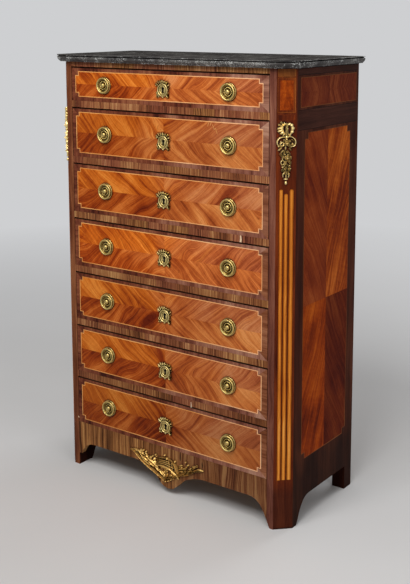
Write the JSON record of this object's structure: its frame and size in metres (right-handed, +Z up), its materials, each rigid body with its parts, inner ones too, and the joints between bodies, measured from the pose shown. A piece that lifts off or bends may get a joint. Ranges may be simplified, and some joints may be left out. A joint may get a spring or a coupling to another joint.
{
  "type": "semainier chest of drawers",
  "caption": "Tall chest of drawers with canted corners, quartered veneer drawers, bronze ring handles and a marble top.",
  "frame": {"origin": "on the floor, below the middle of the marble top", "axes": "+Z up, the drawers open towards -Y, +X to the right of someone facing the drawers"},
  "size_m": [0.974, 0.454, 1.462],
  "materials": {
    "marble": "polished dark grey marble with pale flecks and veins",
    "dark_veneer": "polished dark purplish brown veneer",
    "tulipwood_veneer": "polished quartered orange-brown veneer with light string lines",
    "rail_veneer": "worn cross-grained brown veneer",
    "oak": "dry unvarnished oak",
    "bronze": "worn gilt bronze"
  },
  "bodies": {
    "case": {"marble_top": "marble", "right_front_post": "dark_veneer", "left_front_post": "dark_veneer", "right_side": "dark_veneer", "left_side": "dark_veneer", "back_panel": "oak", "top_board": "rail_veneer", "bottom_board": "oak", "rail_frame_1": "rail_veneer", "rail_frame_2": "rail_veneer", "rail_frame_3": "rail_veneer", "rail_frame_4": "rail_veneer", "rail_frame_5": "rail_veneer", "rail_frame_6": "rail_veneer", "apron": "rail_veneer", "right_corner_fall": "bronze", "left_corner_fall": "bronze", "apron_mount": "bronze"},
    "drawer_1": {"drawer_1_front": "tulipwood_veneer", "drawer_1_tray": "oak", "drawer_1_plate_left": "bronze", "drawer_1_plate_right": "bronze"},
    "drawer_1_ring_left": {"drawer_1_ring_left": "bronze"},
    "drawer_1_ring_right": {"drawer_1_ring_right": "bronze"},
    "drawer_2": {"drawer_2_front": "tulipwood_veneer", "drawer_2_tray": "oak", "drawer_2_plate_left": "bronze", "drawer_2_plate_right": "bronze"},
    "drawer_2_ring_left": {"drawer_2_ring_left": "bronze"},
    "drawer_2_ring_right": {"drawer_2_ring_right": "bronze"},
    "drawer_3": {"drawer_3_front": "tulipwood_veneer", "drawer_3_tray": "oak", "drawer_3_plate_left": "bronze", "drawer_3_plate_right": "bronze"},
    "drawer_3_ring_left": {"drawer_3_ring_left": "bronze"},
    "drawer_3_ring_right": {"drawer_3_ring_right": "bronze"},
    "drawer_4": {"drawer_4_front": "tulipwood_veneer", "drawer_4_tray": "oak", "drawer_4_plate_left": "bronze", "drawer_4_plate_right": "bronze"},
    "drawer_4_ring_left": {"drawer_4_ring_left": "bronze"},
    "drawer_4_ring_right": {"drawer_4_ring_right": "bronze"},
    "drawer_5": {"drawer_5_front": "tulipwood_veneer", "drawer_5_tray": "oak", "drawer_5_plate_left": "bronze", "drawer_5_plate_right": "bronze"},
    "drawer_5_ring_left": {"drawer_5_ring_left": "bronze"},
    "drawer_5_ring_right": {"drawer_5_ring_right": "bronze"},
    "drawer_6": {"drawer_6_front": "tulipwood_veneer", "drawer_6_tray": "oak", "drawer_6_plate_left": "bronze", "drawer_6_plate_right": "bronze"},
    "drawer_6_ring_left": {"drawer_6_ring_left": "bronze"},
    "drawer_6_ring_right": {"drawer_6_ring_right": "bronze"},
    "drawer_7": {"drawer_7_front": "tulipwood_veneer", "drawer_7_tray": "oak", "drawer_7_plate_left": "bronze", "drawer_7_plate_right": "bronze"},
    "drawer_7_ring_left": {"drawer_7_ring_left": "bronze"},
    "drawer_7_ring_right": {"drawer_7_ring_right": "bronze"}
  },
  "joints": [
    {"name": "drawer_1_slide", "type": "slide", "parent": "case", "child": "drawer_1", "axis": [0, -1, 0], "range_m": [0, 0.3]},
    {"name": "drawer_1_ring_left_swing", "type": "hinge", "parent": "drawer_1", "child": "drawer_1_ring_left", "pos_m": [-0.251, -0.2113, 1.3876], "axis": [-1, 0, 0], "range_deg": [0, 150]},
    {"name": "drawer_1_ring_right_swing", "type": "hinge", "parent": "drawer_1", "child": "drawer_1_ring_right", "pos_m": [0.251, -0.2113, 1.3876], "axis": [-1, 0, 0], "range_deg": [0, 150]},
    {"name": "drawer_2_slide", "type": "slide", "parent": "case", "child": "drawer_2", "axis": [0, -1, 0], "range_m": [0, 0.3]},
    {"name": "drawer_2_ring_left_swing", "type": "hinge", "parent": "drawer_2", "child": "drawer_2_ring_left", "pos_m": [-0.251, -0.2113, 1.22361], "axis": [-1, 0, 0], "range_deg": [0, 150]},
    {"name": "drawer_2_ring_right_swing", "type": "hinge", "parent": "drawer_2", "child": "drawer_2_ring_right", "pos_m": [0.251, -0.2113, 1.22361], "axis": [-1, 0, 0], "range_deg": [0, 150]},
    {"name": "drawer_3_slide", "type": "slide", "parent": "case", "child": "drawer_3", "axis": [0, -1, 0], "range_m": [0, 0.3]},
    {"name": "drawer_3_ring_left_swing", "type": "hinge", "parent": "drawer_3", "child": "drawer_3_ring_left", "pos_m": [-0.251, -0.2113, 1.0326], "axis": [-1, 0, 0], "range_deg": [0, 150]},
    {"name": "drawer_3_ring_right_swing", "type": "hinge", "parent": "drawer_3", "child": "drawer_3_ring_right", "pos_m": [0.251, -0.2113, 1.0326], "axis": [-1, 0, 0], "range_deg": [0, 150]},
    {"name": "drawer_4_slide", "type": "slide", "parent": "case", "child": "drawer_4", "axis": [0, -1, 0], "range_m": [0, 0.3]},
    {"name": "drawer_4_ring_left_swing", "type": "hinge", "parent": "drawer_4", "child": "drawer_4_ring_left", "pos_m": [-0.251, -0.2113, 0.84161], "axis": [-1, 0, 0], "range_deg": [0, 150]},
    {"name": "drawer_4_ring_right_swing", "type": "hinge", "parent": "drawer_4", "child": "drawer_4_ring_right", "pos_m": [0.251, -0.2113, 0.84161], "axis": [-1, 0, 0], "range_deg": [0, 150]},
    {"name": "drawer_5_slide", "type": "slide", "parent": "case", "child": "drawer_5", "axis": [0, -1, 0], "range_m": [0, 0.3]},
    {"name": "drawer_5_ring_left_swing", "type": "hinge", "parent": "drawer_5", "child": "drawer_5_ring_left", "pos_m": [-0.251, -0.2113, 0.6506], "axis": [-1, 0, 0], "range_deg": [0, 150]},
    {"name": "drawer_5_ring_right_swing", "type": "hinge", "parent": "drawer_5", "child": "drawer_5_ring_right", "pos_m": [0.251, -0.2113, 0.6506], "axis": [-1, 0, 0], "range_deg": [0, 150]},
    {"name": "drawer_6_slide", "type": "slide", "parent": "case", "child": "drawer_6", "axis": [0, -1, 0], "range_m": [0, 0.3]},
    {"name": "drawer_6_ring_left_swing", "type": "hinge", "parent": "drawer_6", "child": "drawer_6_ring_left", "pos_m": [-0.251, -0.2113, 0.4596], "axis": [-1, 0, 0], "range_deg": [0, 150]},
    {"name": "drawer_6_ring_right_swing", "type": "hinge", "parent": "drawer_6", "child": "drawer_6_ring_right", "pos_m": [0.251, -0.2113, 0.4596], "axis": [-1, 0, 0], "range_deg": [0, 150]},
    {"name": "drawer_7_slide", "type": "slide", "parent": "case", "child": "drawer_7", "axis": [0, -1, 0], "range_m": [0, 0.3]},
    {"name": "drawer_7_ring_left_swing", "type": "hinge", "parent": "drawer_7", "child": "drawer_7_ring_left", "pos_m": [-0.251, -0.2113, 0.2686], "axis": [-1, 0, 0], "range_deg": [0, 150]},
    {"name": "drawer_7_ring_right_swing", "type": "hinge", "parent": "drawer_7", "child": "drawer_7_ring_right", "pos_m": [0.251, -0.2113, 0.2686], "axis": [-1, 0, 0], "range_deg": [0, 150]}
  ]
}
